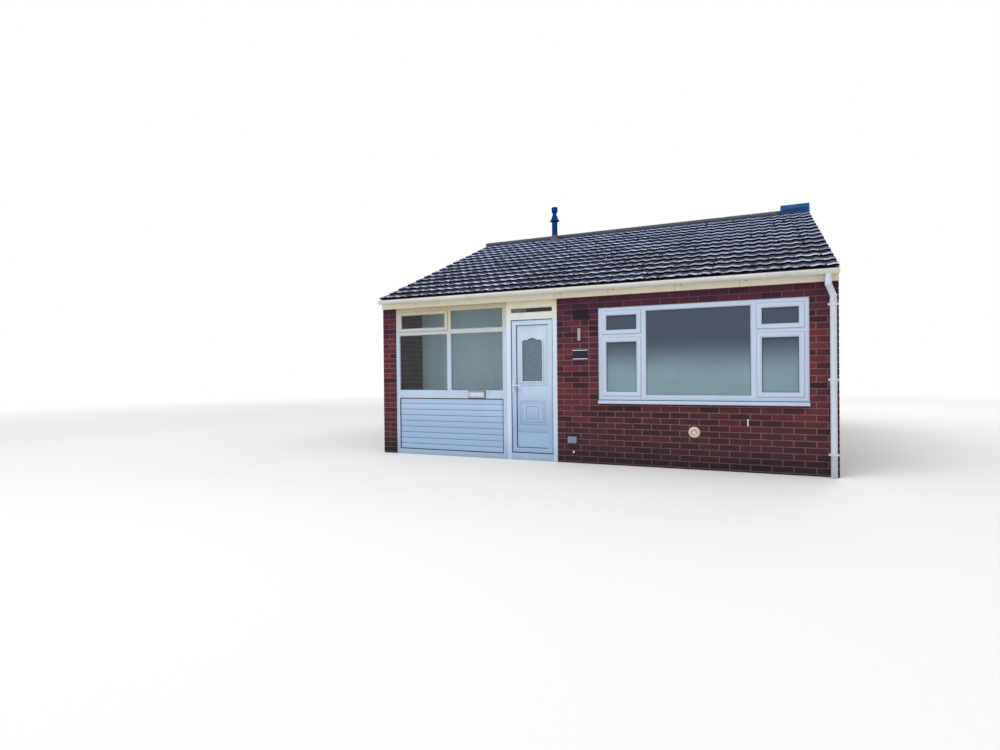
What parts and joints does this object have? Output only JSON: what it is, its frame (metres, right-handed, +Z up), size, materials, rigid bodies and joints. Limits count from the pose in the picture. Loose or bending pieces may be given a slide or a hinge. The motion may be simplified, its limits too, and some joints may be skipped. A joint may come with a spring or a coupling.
{
  "type": "terraced bungalow",
  "caption": "Single-storey brick house of a row with a low tiled roof, glazed porch screen, inward-opening door, wide front window, flue and ridge vent; ends at plain party walls",
  "frame": {"origin": "at ground level in the middle of the plan, between the front and rear wall faces and between the party walls", "axes": "+X to the right along the front as seen from the street, +Y into the house from the front, +Z up"},
  "size_m": [6.096, 8.8346, 4.5646],
  "materials": {
    "brick": "dark red and purplish facing brick in stretcher bond with grey-brown mortar",
    "concrete": "smooth floated concrete",
    "plaster": "white plasterboard",
    "cream_plastic": "yellowed cream trim with dirty streaks",
    "roof_wood": "sawn softwood boards",
    "roof_tile": "weathered dark brown concrete tile with pale noses",
    "mortar": "bedding mortar",
    "dark_metal": "weathered blue-black",
    "lead": "dull lead-grey sheet",
    "white_plastic": "white moulded plastic, slightly dirty",
    "glass": "clear sealed units in front of dark rooms",
    "pale_metal": "white coated",
    "aluminium": "mill finish",
    "steel": "zinc plated",
    "porch_paint": "grey-green painted plaster",
    "fitting_plastic": "small cream, grey and dark plastic fittings"
  },
  "bodies": {
    "house": {"floor_slab": "concrete", "left_party_wall": "brick", "right_party_wall": "brick", "front_wall": "brick", "rear_wall": "brick", "porch_back_wall": "porch_paint", "ceiling": "plaster", "porch_head": "cream_plastic", "front_roof_boards": "roof_wood", "rear_roof_boards": "roof_wood", "front_roof_tiles": "roof_tile", "rear_roof_tiles": "roof_tile", "ridge_bed": "mortar", "ridge_tiles": "roof_tile", "ridge_vent": "dark_metal", "flue_flashing": "lead", "flue_terminal": "dark_metal", "front_fascia": "cream_plastic", "rear_fascia": "cream_plastic", "front_gutter": "white_plastic", "rear_gutter": "white_plastic", "front_downpipe": "white_plastic", "rear_downpipe": "white_plastic", "screen_frame": "white_plastic", "screen_fanlight": "white_plastic", "screen_glass": "glass", "screen_panel": "white_plastic", "letter_plate": "pale_metal", "door_frame": "white_plastic", "door_threshold": "aluminium", "door_hinges": "steel", "front_window_frame": "white_plastic", "front_window_sashes": "white_plastic", "front_window_glass": "glass", "front_window_sill": "white_plastic", "rear_window_frames": "white_plastic", "rear_window_sashes": "white_plastic", "rear_window_glass": "glass", "rear_window_sills": "white_plastic", "wall_fittings": "fitting_plastic"},
    "front_door": {"front_door": "white_plastic", "front_door_glass": "glass", "handle_plates": "pale_metal"},
    "lever_handle": {"lever_handle": "pale_metal"},
    "letter_flap": {"letter_flap": "pale_metal"}
  },
  "joints": [
    {"name": "front_door_hinge", "type": "hinge", "parent": "house", "child": "front_door", "pos_m": [-0.293, -4.171, 1.03], "axis": [0, 0, -1], "range_deg": [0, 90]},
    {"name": "lever_turn", "type": "hinge", "parent": "front_door", "child": "lever_handle", "pos_m": [-0.888, -4.24, 1.05], "axis": [0, 1, 0], "range_deg": [0, 35], "stiffness_Nm_per_rad": 0.4, "springref_deg": -57.3},
    {"name": "letter_flap_hinge", "type": "hinge", "parent": "house", "child": "letter_flap", "pos_m": [-1.457, -4.262, 0.943], "axis": [-1, 0, 0], "range_deg": [0, 80]}
  ]
}
